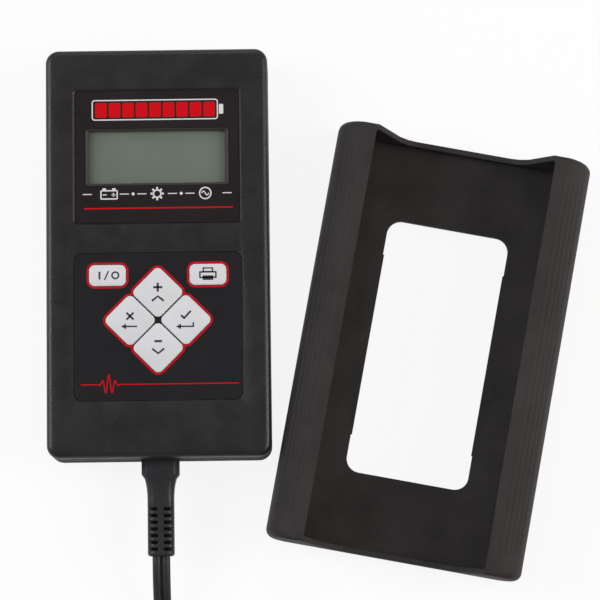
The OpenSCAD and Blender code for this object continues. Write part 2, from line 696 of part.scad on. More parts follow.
// A copper strip with teeth along the jaw.
module jaw_teeth(z0, z1, shift) translate([0, 0, z0]) linear_extrude(z1 - z0) {
    count = floor((jaw_l - 14) / tooth);
    polygon(concat([[10, 1.7], [10, 0.9]],
        [for (k = [0 : count - 1], p = [0, 1]) [10.5 + (k + p * 0.5 + shift) * tooth, p == 0 ? 1 : 0.25]],
        [[jaw_l - 2, 0.9], [jaw_l - 2, 1.7]]));
}

// The strip's tang, which passes over the spring to the crimp that holds the lead.
module jaw_tang() {
    inner = [for (x = [11, 4, 0, -6, -12, -18, -21])
        [x, 12 - skin_t - 0.9 + (x < 0 ? grip_rise * smooth(-x / grip_l) : -0.12 * x)]];
    translate([0, 0, grip_w / 2 - 2.5]) linear_extrude(5) {
        polygon(concat(inner, [for (k = [len(inner) - 1 : -1 : 0]) inner[k] + [0, 0.8]]));
        translate([10, 1.6]) square([1, inner[0][1] - 1.3]);
    }
    translate([-18, 8.75, grip_w / 2]) rotate([0, -90, -17]) difference() {
        cylinder(9, r = crimp_r);
        translate([0, 0, 1]) cylinder(9, r = cable_t / 2 + 0.05);
    }
}

module at_clamp(y) {
    translate([clamp_x, y, 0]) rotate(180) children();
}

module grip(y) at_clamp(y) clamp_half(0, grip_w);

module lever(y) at_clamp(y) mirror([0, 1, 0]) clamp_half(lever_z0, grip_w - lever_z0);

module grip_jaw(y) color([0.72, 0.42, 0.25]) at_clamp(y) {
    jaw_teeth(0.6, grip_w - 0.6, 0);
    jaw_tang();
}

module lever_jaw(y) color([0.72, 0.42, 0.25]) at_clamp(y) mirror([0, 1, 0])
    jaw_teeth(lever_z0 + 0.3, grip_w - lever_z0 - 0.3, 0.5);

module pin(y) color("silver") at_clamp(y) translate([0, 0, 0.2]) cylinder(grip_w - 0.4, r = pin_d / 2);

// The torsion spring: its coil turns round the pin from one leg, which bears on the
// fixed half, to the other, which bears on the half that moves and goes with it.
spring_z = lever_z0 + cheek_t + 0.4 + wire_d / 2;
spring_turns = floor((grip_w - 2 * spring_z) / spring_pitch) + 140 / 360;
function coil_point(a, z) = [spring_r * cos(a), spring_r * sin(a), z];
function leg_end(s) = coil_point(s * leg_turn, 0) + leg_l * [-sin(leg_turn), s * cos(leg_turn), 0];
function spring_path() = concat(
    [leg_end(1) + [0, 0, spring_z]],
    [for (k = [0 : ceil(spring_turns * 14)]) let (t = k / ceil(spring_turns * 14))
        coil_point(leg_turn - t * spring_turns * 360, spring_z + t * spring_turns * spring_pitch)]);

module spring(y) color([0.6, 0.6, 0.62]) at_clamp(y) tube(spring_path(), wire_d, wire_d, 8);

module spring_leg(y) color([0.6, 0.6, 0.62]) at_clamp(y) {
    z = spring_z + spring_turns * spring_pitch;
    tip = leg_end(-1) + [0, 0, z];
    root = coil_point(-leg_turn, z);
    tube([root + 1.4 * unit(tip - root), tip], wire_d, wire_d, 8);
}

module red_grip() color([0.7, 0.04, 0.06]) grip(red_y);
module red_lever() color([0.7, 0.04, 0.06]) lever(red_y);
module red_grip_jaw() grip_jaw(red_y);
module red_lever_jaw() lever_jaw(red_y);
module red_pin() pin(red_y);
module red_spring() spring(red_y);
module red_spring_leg() spring_leg(red_y);
module black_grip() color([0.12, 0.12, 0.12]) grip(black_y);
module black_lever() color([0.12, 0.12, 0.12]) lever(black_y);
module black_grip_jaw() grip_jaw(black_y);
module black_lever_jaw() lever_jaw(black_y);
module black_pin() pin(black_y);
module black_spring() spring(black_y);
module black_spring_leg() spring_leg(black_y);

// ================================================================ boot
cavity_w = body_w + 2 * boot_gap;
cavity_l = body_l + 2 * boot_gap;
cavity_top = boot_floor + body_h + boot_gap;
boot_w = cavity_w + 2 * boot_side;
boot_l = cavity_l + 2 * boot_end;
boot_h = cavity_top + boot_lip_t;
lip_edge = cavity_w / 2 - boot_lip;
notch_run = 15;
hole_r = 6.5;
boot_x = body_w / 2 + boot_space + boot_w / 2 / cos(boot_turn) + (body_l / 2 - boot_y) * tan(boot_turn);

// The rails are rounded in section: how far they draw in from the widest at each height.
rail_mid = 20;
rail_round = 2.4;
foot_inset = 9;
end_round = 2;
boot_heights = [0, 1.2, 3, 6, 10, 15, rail_mid, 25, 29, 32.5, boot_h - 3.4, boot_h - end_round,
    boot_h - 1.2, boot_h - 0.5, boot_h];
function drawn_in(t, w) = w * (1 - pow(1 - pow(min(t, 1), rail_round), 1 / rail_round));
function side_inset(z) = z < rail_mid ? drawn_in((rail_mid - z) / rail_mid, foot_inset)
    : drawn_in((z - rail_mid) / (boot_h - rail_mid), boot_side + boot_lip - 1);
function end_inset(z) = z < boot_h - end_round ? max(0, 1.2 - z)
    : end_round - sqrt(pow(end_round, 2) - pow(z - boot_h + end_round, 2));

module boot_outer() hull() for (z = boot_heights)
    translate([0, 0, min(z, boot_h - 0.05)]) linear_extrude(0.05)
        plan_rect(boot_w - 2 * side_inset(z), boot_l - 2 * end_inset(z), 4, $fn = 32);

// The window's long sides step in between its ends.
window_step = 0.5;
window_end = 17;
module boot_window() {
    slab(boot_hole_w - 2 * window_step, boot_hole_l, hole_r, -1, boot_floor + 1);
    difference() {
        slab(boot_hole_w, boot_hole_l, hole_r, -1, boot_floor + 1);
        cube([boot_hole_w + 1, boot_hole_l - 2 * window_end, 4 * boot_floor], center = true);
    }
}

module boot_notch() translate([0, boot_l, 0]) rotate([90, 0, 0]) linear_extrude(2 * boot_l)
    polygon([[-lip_edge, boot_h + 1], [-lip_edge, boot_h], [-lip_edge + notch_run - 4, boot_floor + boot_notch_z + 6],
        [-lip_edge + notch_run, boot_floor + boot_notch_z + 1.5], [-lip_edge + notch_run + 4, boot_floor + boot_notch_z],
        [lip_edge - notch_run - 4, boot_floor + boot_notch_z], [lip_edge - notch_run, boot_floor + boot_notch_z + 1.5],
        [lip_edge - notch_run + 4, boot_floor + boot_notch_z + 6], [lip_edge, boot_h], [lip_edge, boot_h + 1]]);

module boot() color([0.24, 0.23, 0.22]) translate([boot_x, -boot_y, 0]) rotate(-boot_turn) difference() {
    boot_outer();
    translate([0, 0, boot_floor]) soft_block(cavity_w, cavity_l, corner_r, edge_r, cavity_top - boot_floor);
    slab(2 * lip_edge, cavity_l, 1, boot_floor + 1, boot_h + 1);
    boot_window();
    boot_notch();
}

front_case();
rear_case();
case_screws();
display_label();
display_bezel();
display_window();
lcd_frame();
lcd_glass();
lcd_backlight();
lcd_board();
keypad_overlay();
keypad_circuit();
key_on_off();
key_print();
key_up();
key_down();
key_no();
key_yes();
dome_on_off();
dome_print();
dome_up();
dome_down();
dome_no();
dome_yes();
main_board();
board_screws();
chips();
capacitors();
load_resistor();
heat_sink();
power_transistors();
buzzer();
ir_emitter();
ir_window();
board_connectors();
display_cable();
input_wires();
strain_relief();
main_cable();
cable_coil();
cable_end();
cable_tie();
lead_yoke();
red_lead();
black_lead();
red_grip();
red_lever();
red_grip_jaw();
red_lever_jaw();
red_pin();
red_spring();
red_spring_leg();
black_grip();
black_lever();
black_grip_jaw();
black_lever_jaw();
black_pin();
black_spring();
black_spring_leg();
boot();
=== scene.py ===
# Battery tester with its rubber boot slipped off and its clamp leads put away beside it.
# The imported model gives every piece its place; each section below finishes one of them.
import json
import math

import bpy
from mathutils import Matrix, Vector

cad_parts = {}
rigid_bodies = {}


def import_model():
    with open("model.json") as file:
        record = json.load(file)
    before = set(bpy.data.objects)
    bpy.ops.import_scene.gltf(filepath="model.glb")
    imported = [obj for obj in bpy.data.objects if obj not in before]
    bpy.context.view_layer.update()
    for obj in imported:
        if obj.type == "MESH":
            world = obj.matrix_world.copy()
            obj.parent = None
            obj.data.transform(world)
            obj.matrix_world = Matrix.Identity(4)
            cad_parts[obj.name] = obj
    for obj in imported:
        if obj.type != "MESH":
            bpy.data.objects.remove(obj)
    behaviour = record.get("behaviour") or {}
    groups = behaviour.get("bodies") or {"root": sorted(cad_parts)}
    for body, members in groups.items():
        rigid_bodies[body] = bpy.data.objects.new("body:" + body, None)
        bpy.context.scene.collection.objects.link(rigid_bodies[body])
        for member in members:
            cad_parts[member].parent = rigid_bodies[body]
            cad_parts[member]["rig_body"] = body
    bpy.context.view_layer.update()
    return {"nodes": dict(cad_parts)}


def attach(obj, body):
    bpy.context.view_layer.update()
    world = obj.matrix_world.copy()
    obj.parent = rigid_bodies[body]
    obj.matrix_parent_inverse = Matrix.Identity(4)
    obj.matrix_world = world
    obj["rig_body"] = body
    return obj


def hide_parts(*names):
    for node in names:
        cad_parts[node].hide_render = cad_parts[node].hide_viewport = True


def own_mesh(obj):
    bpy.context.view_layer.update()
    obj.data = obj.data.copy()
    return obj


for leftover in list(bpy.data.objects):
    bpy.data.objects.remove(leftover)
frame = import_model()

# ---- The camera
# It looks down from a little beyond the tester's lower end, seven degrees off the vertical, and
# from well away, so that the case looks nearly square on and its lower wall just shows.
camera_target = Vector((0.0647, -0.0212, 0.016))
camera_distance = 1.4
camera_tilt = math.radians(7)
camera_roll = -0.013
sensor_width = 36
focal_length = 182.4
bpy.ops.object.camera_add()
camera = bpy.context.object
camera_reach = camera_distance * Vector((0, -math.sin(camera_tilt), math.cos(camera_tilt)))
camera.matrix_world = (
    Matrix.Translation(camera_target + camera_reach)
    @ Matrix.Rotation(camera_tilt, 4, "X")
    @ Matrix.Rotation(camera_roll, 4, "Z")
)
camera.data.sensor_width = sensor_width
camera.data.lens = focal_length
bpy.context.scene.camera = camera

# ---- The twin cable
# Two stranded wires side by side in one soft black PVC jacket with a groove down the middle.
# It leaves the strain relief flat, turns on edge on the table, lies there in a tied coil of
# three turns, then passes over them to the yoke. It is an extruded length, cut and moulded on.
mm = 0.001
cable_width = 8.2
cable_thickness = 4.0
cable_height = 16


def deselect_all():
    for other in bpy.context.selected_objects:
        other.select_set(False)


def take(piece):
    """Picks up one piece, with nothing else selected."""
    deselect_all()
    piece.select_set(True)
    bpy.context.view_layer.objects.active = piece


def edit_all(piece):
    """Opens a piece in edit mode with all of it selected."""
    take(piece)
    bpy.ops.object.mode_set(mode="EDIT")
    bpy.ops.mesh.select_mode(type="VERT")
    bpy.ops.mesh.select_all(action="SELECT")


def close_edit():
    bpy.ops.object.mode_set(mode="OBJECT")


def blank_finish(name, colour, roughness, metallic=0.0, gloss=0.5):
    """A finish with its constant values set on the shader."""
    finish = bpy.data.materials.new(name)
    finish.use_nodes = True
    shader = finish.node_tree.nodes["Principled BSDF"]
    shader.inputs["Base Color"].default_value = (*colour, 1)
    shader.inputs["Roughness"].default_value = roughness
    shader.inputs["Metallic"].default_value = metallic
    shader.inputs["Specular IOR Level"].default_value = gloss
    return finish, finish.node_tree, shader


def put_in(tree, socket, value):
    """Joins a node's input to another node's output, or sets it to a value."""
    if isinstance(value, bpy.types.NodeSocket):
        tree.links.new(value, socket)
    else:
        socket.default_value = value


def add_node(tree, kind, *in_order, **by_name):
    """A shader node with its settings made and its inputs filled, in order or by name."""
    node = tree.nodes.new(kind)
    for key, value in by_name.items():
        if key in node.bl_rna.properties:
            setattr(node, key, value)
        else:
            put_in(tree, node.inputs[key.replace("_", " ")], value)
    for socket, value in zip(node.inputs, in_order):
        put_in(tree, socket, value)
    return node


def object_place(tree):
    return add_node(tree, "ShaderNodeTexCoord").outputs["Object"]


def moulded(name, colour, roughness, grain, bite, cloud=60, mottle=0.12, gloss=0.5):
    """Moulded plastic or rubber: a fine pitted skin, and soft clouds in its shade and shine."""
    cloud_low, cloud_high = 0.3, 0.7
    shine_change = 0.05
    finish, tree, shader = blank_finish(name, colour, roughness, gloss=gloss)
    place = object_place(tree)
    pits = add_node(
        tree, "ShaderNodeTexNoise", Vector=place, Scale=grain, Detail=3.0, Roughness=0.6
    )
    skin = add_node(
        tree, "ShaderNodeBump", Height=pits.outputs[0], Strength=bite, Distance=0.15 * mm
    )
    put_in(tree, shader.inputs["Normal"], skin.outputs[0])
    clouds = add_node(
        tree, "ShaderNodeTexNoise", Vector=place, Scale=cloud, Detail=5.0, Roughness=0.65
    )
    shade = add_node(tree, "ShaderNodeValToRGB", Fac=clouds.outputs[0])
    dark, light = shade.color_ramp.elements
    dark.position, light.position = cloud_low, cloud_high
    dark.color = (*[c * (1 - mottle) for c in colour], 1)
    light.color = (*[c * (1 + mottle) for c in colour], 1)
    put_in(tree, shader.inputs["Base Color"], shade.outputs[0])
    shine = add_node(
        tree, "ShaderNodeMapRange", Value=clouds.outputs[0],
        From_Min=cloud_low, From_Max=cloud_high,
        To_Min=roughness - shine_change, To_Max=roughness + shine_change,
    )
    put_in(tree, shader.inputs["Roughness"], shine.outputs[0])
    return finish


def smooth_line(stops):
    """Points about 1.5 mm apart on a smooth curve through the stops."""
    step = 1.5
    stops = [Vector(s) for s in stops]
    line = []
    for i in range(len(stops) - 1):
        before = stops[max(i - 1, 0)]
        start, end = stops[i], stops[i + 1]
        after = stops[min(i + 2, len(stops) - 1)]
        pieces = max(1, round((end - start).length / step))
        for k in range(pieces):
            t = k / pieces
            bend = (2 * before - 5 * start + 4 * end - after) * t * t
            bend_change = (3 * start - before - 3 * end + after) * t * t * t
            line.append(0.5 * (2 * start + (end - before) * t + bend + bend_change))
    return line + [stops[-1]]


def gently(t):
    """Goes from 0 to 1 as t does, with a soft start and stop."""
    t = min(max(t, 0), 1)
    return t * t * (3 - 2 * t)


def drawn_cord(name, line, section, tilts, finish):
    """A cord's skin: its section set square to the line and tilted about it, from flat at 0."""
    corners, skins = [], []
    count = len(section)
    for i, at in enumerate(line):
        ahead = (line[min(i + 1, len(line) - 1)] - line[max(i - 1, 0)]).normalized()
        level = ahead.cross(Vector((0, 0, 1))).normalized()
        upright = level.cross(ahead)
        across = math.cos(tilts[i]) * level + math.sin(tilts[i]) * upright
        through = across.cross(ahead)
        corners += [(at + across * u + through * v) * mm for u, v in section]
        if i:
            old, new = (i - 1) * count, i * count
            for k in range(count):
                j = (k + 1) % count
                skins.append((old + k, old + j, new + j, new + k))
    skins += [tuple(range(count))[::-1], tuple(range(new, new + count))]
    mesh = bpy.data.meshes.new(name)
    mesh.from_pydata(corners, [], skins)
    cord = bpy.data.objects.new(name, mesh)
    bpy.context.scene.collection.objects.link(cord)
    edit_all(cord)
    bpy.ops.mesh.normals_make_consistent(inside=False)
    close_edit()
    bpy.ops.object.shade_smooth_by_angle(angle=math.radians(50))
    cord.data.materials.append(finish)
    return cord


lobe = cable_thickness / 2
lobe_at = cable_width / 2 - lobe
lobe_points = 12
web = math.radians(16)
twin_section = [
    (side * lobe_at + lobe * math.cos(a), lobe * math.sin(a))
    for side, start in ((1, -math.pi + web), (-1, web))
    for a in [
        start + (2 * math.pi - 2 * web) * k / (lobe_points - 1) for k in range(lobe_points)
    ]
]
leaving_line = smooth_line([
    (0, -110, cable_height), (0, -124, cable_height), (0, -138, cable_height), (0, -143, 15.6),
    (0, -150, 13.6), (0, -157, 10.2), (0, -164, 6.9), (0, -172, 4.7), (0, -182, 4.3),
    (0, -196, 4.4), (0, -212, 4.4), (0, -226, 4.4), (0, -236, 4.4),
])

# The coil winds inwards. Its end climbs over the turns below, leans in and lies down flat.
# The bends are given in degrees turned.
coil_centre = (52.8, -236)
coil_radius, coil_wound_in = 52.8, 13.6
coil_level = 4.4
coil_step, coil_sweep = 4, 1135
climb, climb_from, climb_over = 4.6, 1020, 70
top_climb, top_from, top_over = 2.3, 1085, 50
lean, lean_from, lean_over = 2.2, 1050, 85
coil_stops = range(coil_step, coil_sweep, coil_step)
coil_line = []
for turned in coil_stops:
    rise = climb * gently((turned - climb_from) / climb_over)
    rise += top_climb * gently((turned - top_from) / top_over)
    lean_in = lean * math.sin(math.pi * min(max((turned - lean_from) / lean_over, 0), 1))
    radius = coil_radius - coil_wound_in * turned / coil_sweep - lean_in
    angle = math.radians(180 + turned)
    coil_x = coil_centre[0] + radius * math.cos(angle)
    coil_y = coil_centre[1] + radius * math.sin(angle)
    coil_line.append(Vector((coil_x, coil_y, coil_level + rise)))
crossing_line = smooth_line([
    (30.3, -268.1, 11.3), (42, -276.3, 11.3), (54, -284.7, 11.3), (64, -291.3, 10.6),
    (73, -296.3, 7.8), (81, -299.2, 5), (88, -300, 4.1),
])
twin_line = leaving_line + coil_line + crossing_line
on_edge = math.pi / 2
tipping_from, tipping_over = -152, 30
twin_tilts = (
    [on_edge * gently((tipping_from - at.y) / tipping_over) for at in leaving_line]
    + [on_edge * (1 - gently((turned - top_from) / top_over)) for turned in coil_stops]
    + [0] * len(crossing_line)
)
cable_jacket = moulded(
    "cable_jacket", (0.0185, 0.018, 0.0195), 0.5, 1500, 0.2, cloud=90, gloss=0.3
)
twin_cable = drawn_cord("twin_cable", twin_line, twin_section, twin_tilts, cable_jacket)
inner_line = [Vector((0, y, cable_height)) for y in (-89.6, -100, -110)]
inner_cable = drawn_cord(
    "cable_inner_end", inner_line, twin_section, [0] * len(inner_line), cable_jacket
)
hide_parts("main_cable", "cable_coil", "cable_end")
for piece in (twin_cable, inner_cable):
    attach(piece, "tester")

# ---- Cable tie and yoke
# The woven tie holds the coil's three turns together. The yoke is moulded over the place
# where the twin cable parts into the red and the black lead.
nodes = frame["nodes"]


def eased(node, width, finish, sharper=30, segments=2):
    """A merged copy of a CAD piece with its sharp edges rounded, standing for that node."""
    merged_within = 0.002
    flat_within = math.radians(0.6)
    piece = bpy.data.objects.new(node + "_piece", nodes[node].data.copy())
    bpy.context.scene.collection.objects.link(piece)
    edit_all(piece)
    bpy.ops.mesh.remove_doubles(threshold=merged_within * mm)
    bpy.ops.mesh.dissolve_limited(angle_limit=flat_within)
    close_edit()
    rounding = piece.modifiers.new("rounding", "BEVEL")
    rounding.width = width * mm
    rounding.segments = segments
    rounding.limit_method = "ANGLE"
    rounding.angle_limit = math.radians(sharper)
    bpy.ops.object.modifier_apply(modifier=rounding.name)
    bpy.ops.object.shade_smooth_by_angle(angle=math.radians(sharper))
    piece.data.materials.clear()
    piece.data.materials.append(finish)
    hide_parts(node)
    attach(piece, nodes[node]["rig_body"])
    return piece


tie_black, tie_tree, tie_shader = blank_finish("tie_black", (0.012, 0.012, 0.013), 0.75)
weave = add_node(
    tie_tree, "ShaderNodeTexBrick", Vector=object_place(tie_tree), Scale=900.0,
    Color1=(0.009, 0.009, 0.010, 1), Color2=(0.02, 0.02, 0.021, 1), Mortar=(0.004, 0.004, 0.004, 1),
)
put_in(tie_tree, tie_shader.inputs["Base Color"], weave.outputs["Color"])
weave_relief = add_node(
    tie_tree, "ShaderNodeBump", Height=weave.outputs["Fac"], Strength=0.7, Distance=0.2 * mm
)
put_in(tie_tree, tie_shader.inputs["Normal"], weave_relief.outputs[0])
cable_tie = eased("cable_tie", 0.4, tie_black)
yoke_pvc = moulded("yoke_pvc", (0.0165, 0.0158, 0.0185), 0.42, 1600, 0.3, cloud=120, gloss=0.3)
lead_yoke = eased("lead_yoke", 0.6, yoke_pvc, sharper=35, segments=3)

# ---- The two leads
# Single stranded wires in red and black PVC, parted by the yoke. Each lies on the table and
# rises into the crimp at the back of its clamp's upper jaw.
lead_radius = 2
lead_sides = 16
lead_section = [
    (lead_radius * math.cos(a), lead_radius * math.sin(a))
    for a in [2 * math.pi * k / lead_sides for k in range(lead_sides)]
]
lead_stops = {
    "red": [
        (112, -302.2, 3.6), (124, -304.5, 2.4), (140, -307, 2.2), (165, -310, 2.2),
        (195, -312, 2.2), (222, -311.5, 2.2), (245, -305.5, 2.2), (258, -292, 2.2),
        (263, -273, 2.2), (263, -254, 2.3), (259, -238, 3.4), (250, -226, 6), (240, -220, 9),
        (230, -218.3, 10.5), (221, -217.6, 10.5), (209, -215.8, 10.5), (199, -212.7, 10.5),
        (189, -209.2, 10.5), (182.2, -207.1, 10.5),
    ],
    "black": [
        (112, -297.8, 3.6), (124, -298.3, 2.4), (140, -300, 2.2), (165, -302.5, 2.2),
        (195, -305, 2.2), (213, -305, 2.2), (229, -302.5, 2.2), (241, -296.5, 2.4),
        (246.5, -287.5, 3.8), (244.5, -279.5, 6.2), (238, -274.5, 9), (230, -272.3, 10.5),
        (221, -271.6, 10.5), (209, -269.8, 10.5), (199, -266.7, 10.5), (189, -263.2, 10.5),
        (182.2, -261.1, 10.5),
    ],
}
lead_finish = {
    "red": moulded("lead_red", (0.42, 0.012, 0.016), 0.4, 1500, 0.2, cloud=90, mottle=0.08),
    "black": cable_jacket,
}
leads = {}
for colour, stops in lead_stops.items():
    line = smooth_line(stops)
    lead = drawn_cord(colour + "_wire", line, lead_section, [0] * len(line), lead_finish[colour])
    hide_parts(colour + "_lead")
    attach(lead, "tester")
    leads[colour] = lead, line

# ---- Clamps
# Each clamp is a pair of insulated plastic levers that turn on a steel pin, with toothed
# copper strips along the jaws and a torsion spring between the handles.


def coat(finish, *names):
    """Gives CAD pieces whose shape stays as it is their finish."""
    for name in names:
        for holder in nodes[name].material_slots:
            holder.material = finish


def machined(name, colour, roughness, lines=(4000, 400, 400)):
    """Bare metal with fine tool or rolling marks along it and faint stains."""
    stained, bright = 0.72, 1.15
    smoother, rougher = 0.08, 0.1
    finish, tree, shader = blank_finish(name, colour, roughness, metallic=1.0)
    place = object_place(tree)
    stretched = add_node(tree, "ShaderNodeMapping", Vector=place, Scale=lines)
    marks = add_node(
        tree, "ShaderNodeTexNoise", Vector=stretched.outputs[0], Scale=1.0, Detail=4.0
    )
    relief = add_node(
        tree, "ShaderNodeBump", Height=marks.outputs[0], Strength=0.1, Distance=0.05 * mm
    )
    put_in(tree, shader.inputs["Normal"], relief.outputs[0])
    stain = add_node(tree, "ShaderNodeTexNoise", Vector=place, Scale=220.0, Detail=6.0)
    tint = add_node(tree, "ShaderNodeValToRGB", Fac=stain.outputs[0])
    tint.color_ramp.elements[0].color = (*[c * stained for c in colour], 1)
    tint.color_ramp.elements[1].color = (*[min(c * bright, 1) for c in colour], 1)
    put_in(tree, shader.inputs["Base Color"], tint.outputs[0])
    polish = add_node(
        tree, "ShaderNodeMapRange", Value=marks.outputs[0],
        To_Min=roughness - smoother, To_Max=roughness + rougher,
    )
    put_in(tree, shader.inputs["Roughness"], polish.outputs[0])
    return finish


clamp_red = moulded(
    "clamp_red", (0.45, 0.008, 0.014), 0.38, 1300, 0.15, cloud=70, mottle=0.06, gloss=0.38
)
clamp_black = moulded("clamp_black", (0.014, 0.014, 0.015), 0.36, 1300, 0.2, cloud=70)
copper = machined("copper", (0.78, 0.36, 0.2), 0.3)
pin_steel = machined("pin_steel", (0.66, 0.66, 0.68), 0.25)
spring_steel = machined("spring_steel", (0.5, 0.5, 0.53), 0.32)
for colour, shell in (("red", clamp_red), ("black", clamp_black)):
    insulated = [eased(f"{colour}_{half}", 0.45, shell) for half in ("grip", "lever")]
    coat(copper, colour + "_grip_jaw", colour + "_lever_jaw")
    coat(pin_steel, colour + "_pin")
    coat(spring_steel, colour + "_spring", colour + "_spring_leg")
    lead, line = leads[colour]

# ---- Case halves
# Two shells of black ABS with a spark-eroded skin, held together by four screws from the back.
# Their edges are eased by the mould, and the seam shows as a fine groove round the sides.
case_abs = moulded(
    "case_abs", (0.0127, 0.011, 0.0124), 0.36, 1500, 0.8, cloud=70, mottle=0.25, gloss=0.37
)
side_top, face_edge = 26.5, 29.5
side_dullness = 0.42


def joined_to(shader, name):
    """What drives one of a shader's inputs so far."""
    return shader.inputs[name].links[0].from_socket


case_tree = case_abs.node_tree
case_shader = case_tree.nodes["Principled BSDF"]
case_height = add_node(case_tree, "ShaderNodeSeparateXYZ", Vector=object_place(case_tree))
dull_sides = add_node(
    case_tree, "ShaderNodeMapRange", Value=case_height.outputs["Z"],
    From_Min=side_top * mm, From_Max=face_edge * mm, To_Min=side_dullness, To_Max=0.0,
)
case_shine = add_node(
    case_tree, "ShaderNodeMath", joined_to(case_shader, "Roughness"), dull_sides.outputs[0],
    operation="ADD",
)
put_in(case_tree, case_shader.inputs["Roughness"], case_shine.outputs[0])
eased("front_case", 0.35, case_abs)
eased("rear_case", 0.35, case_abs)
screw_steel = machined("screw_steel", (0.62, 0.62, 0.64), 0.3)
coat(screw_steel, "case_screws", "board_screws")

# ---- Strain relief
# A soft PVC moulding over the cable, clipped in the case wall. Cuts on both sides leave a
# spine down the middle, so that it bends evenly. Deep in the cuts the colour is darkened:
# painted shade where the cuts fall into shadow.
ribbed_pvc = moulded(
    "ribbed_pvc", (0.0235, 0.0218, 0.0245), 0.36, 1600, 0.3, cloud=120, gloss=0.2
)
ribbed_tree = ribbed_pvc.node_tree
ribbed_shader = ribbed_tree.nodes["Principled BSDF"]
waist_flat_x, waist_flat_z, waist_corner = 2.7, 1, 3.4
cut_from, cut_deep = 0.4, 1.1
# How far the colour is darkened deep in the cuts: painted shade.
painted_shade_strength = 0.9


def place_math(operation, *values):
    """One step of vector arithmetic on the place within the strain relief."""
    step = add_node(ribbed_tree, "ShaderNodeVectorMath", *values, operation=operation)
    return step.outputs["Value" if operation == "LENGTH" else "Vector"]


from_axis = place_math("SUBTRACT", object_place(ribbed_tree), (0, 0, cable_height * mm))
past_flat = place_math(
    "MULTIPLY_ADD", place_math("ABSOLUTE", from_axis), (1, 0, 1),
    (-waist_flat_x * mm, 0, -waist_flat_z * mm),
)
from_corner = place_math("LENGTH", place_math("MAXIMUM", past_flat, (0, 0, 0)))
in_cuts = add_node(
    ribbed_tree, "ShaderNodeMapRange", Value=from_corner,
    From_Min=(waist_corner - cut_deep) * mm, From_Max=(waist_corner - cut_from) * mm,
    To_Min=1.0, To_Max=0.0,
)
kept = add_node(
    ribbed_tree, "ShaderNodeMath", in_cuts.outputs[0], -painted_shade_strength, 1.0,
    operation="MULTIPLY_ADD",
)
# Painted shade: the base colour is scaled down where the mask finds the floors of the cuts.
painted_shade_in_cuts = add_node(
    ribbed_tree, "ShaderNodeVectorMath", joined_to(ribbed_shader, "Base Color"),
    operation="SCALE", Scale=kept.outputs[0],
)
put_in(ribbed_tree, ribbed_shader.inputs["Base Color"], painted_shade_in_cuts.outputs[0])
dull_cuts = add_node(
    ribbed_tree, "ShaderNodeMath", joined_to(ribbed_shader, "Roughness"), in_cuts.outputs[0],
    operation="MAXIMUM",
)
put_in(ribbed_tree, ribbed_shader.inputs["Roughness"], dull_cuts.outputs[0])
eased("strain_relief", 0.35, ribbed_pvc)

# ---- Display
# A reflective glass in a black steel frame, behind a clear acrylic window with a black mask
# round it. The printed film round the window is bonded in the recess of the case.
label_film = moulded(
    "label_film", (0.0098, 0.0066, 0.007), 0.28, 2600, 0.12, cloud=25, mottle=0.08, gloss=0.36
)
bezel_black = moulded("bezel_black", (0.038, 0.033, 0.030), 0.5, 2200, 0.12, cloud=40, gloss=0.3)
lcd_steel = moulded("lcd_steel", (0.016, 0.014, 0.0135), 0.42, 1200, 0.15)
coat(label_film, "display_label")
eased("display_bezel", 0.15, bezel_black)
coat(lcd_steel, "lcd_frame")

clear_lens, lens_tree, lens_shader = blank_finish("clear_lens", (0.02, 0.022, 0.02), 0.06)
lens_shader.inputs["Alpha"].default_value = 0.1
lens_dust = add_node(
    lens_tree, "ShaderNodeTexNoise", Vector=object_place(lens_tree), Scale=260.0, Detail=6.0
)
lens_haze = add_node(
    lens_tree, "ShaderNodeMapRange", Value=lens_dust.outputs[0], To_Min=0.03, To_Max=0.12
)
put_in(lens_tree, lens_shader.inputs["Roughness"], lens_haze.outputs[0])
coat(clear_lens, "display_window")

lcd_face, lcd_tree, lcd_shader = blank_finish("lcd_face", (0.1, 0.12, 0.095), 0.3)
lcd_place = object_place(lcd_tree)
lcd_clouds = add_node(lcd_tree, "ShaderNodeTexNoise", Vector=lcd_place, Scale=18.0, Detail=2.0)
lcd_tone = add_node(lcd_tree, "ShaderNodeValToRGB", Fac=lcd_clouds.outputs[0])
lcd_dark, lcd_light = lcd_tone.color_ramp.elements
lcd_dark.position, lcd_light.position = 0.3, 0.75
lcd_dark.color = (0.15, 0.183, 0.144, 1)
lcd_light.color = (0.196, 0.233, 0.183, 1)
dots_across, dots_down = [
    add_node(
        lcd_tree, "ShaderNodeTexWave", Vector=lcd_place, Scale=520.0, bands_direction=way,
        wave_profile="SAW",
    )
    for way in ("X", "Y")
]
dot_grid = add_node(
    lcd_tree, "ShaderNodeMath", dots_across.outputs["Fac"], dots_down.outputs["Fac"],
    operation="MAXIMUM",
)
grid_shade = add_node(
    lcd_tree, "ShaderNodeMapRange", Value=dot_grid.outputs[0], From_Min=0.8,
    To_Min=1.0, To_Max=0.94,
)
lcd_mix = add_node(
    lcd_tree, "ShaderNodeMix", data_type="RGBA", blend_type="MULTIPLY", Factor=1
)
mix_first, mix_second, mixed = lcd_mix.inputs[6], lcd_mix.inputs[7], lcd_mix.outputs[2]
put_in(lcd_tree, mix_first, lcd_tone.outputs[0])
put_in(lcd_tree, mix_second, grid_shade.outputs[0])
put_in(lcd_tree, lcd_shader.inputs["Base Color"], mixed)
coat(lcd_face, "lcd_glass")

# ---- Printing on the display film
# Screen-printed inks on the film's face: a battery gauge in red with a white outline, three
# small white signs for what is tested, and a red rule below them.
ink_thickness = 0.03
label_top = 31.35


def printed(name, colour, gloss=0.3):
    """Screen ink: matt, thinly mottled where the mesh laid it down."""
    return moulded(name, colour, 0.5, 3000, 0.1, cloud=700, mottle=0.06, gloss=gloss)


def settle(made):
    """Takes an object's place, turn and scale into its mesh."""
    take(made)
    bpy.ops.object.transform_apply(location=True, rotation=True, scale=True)


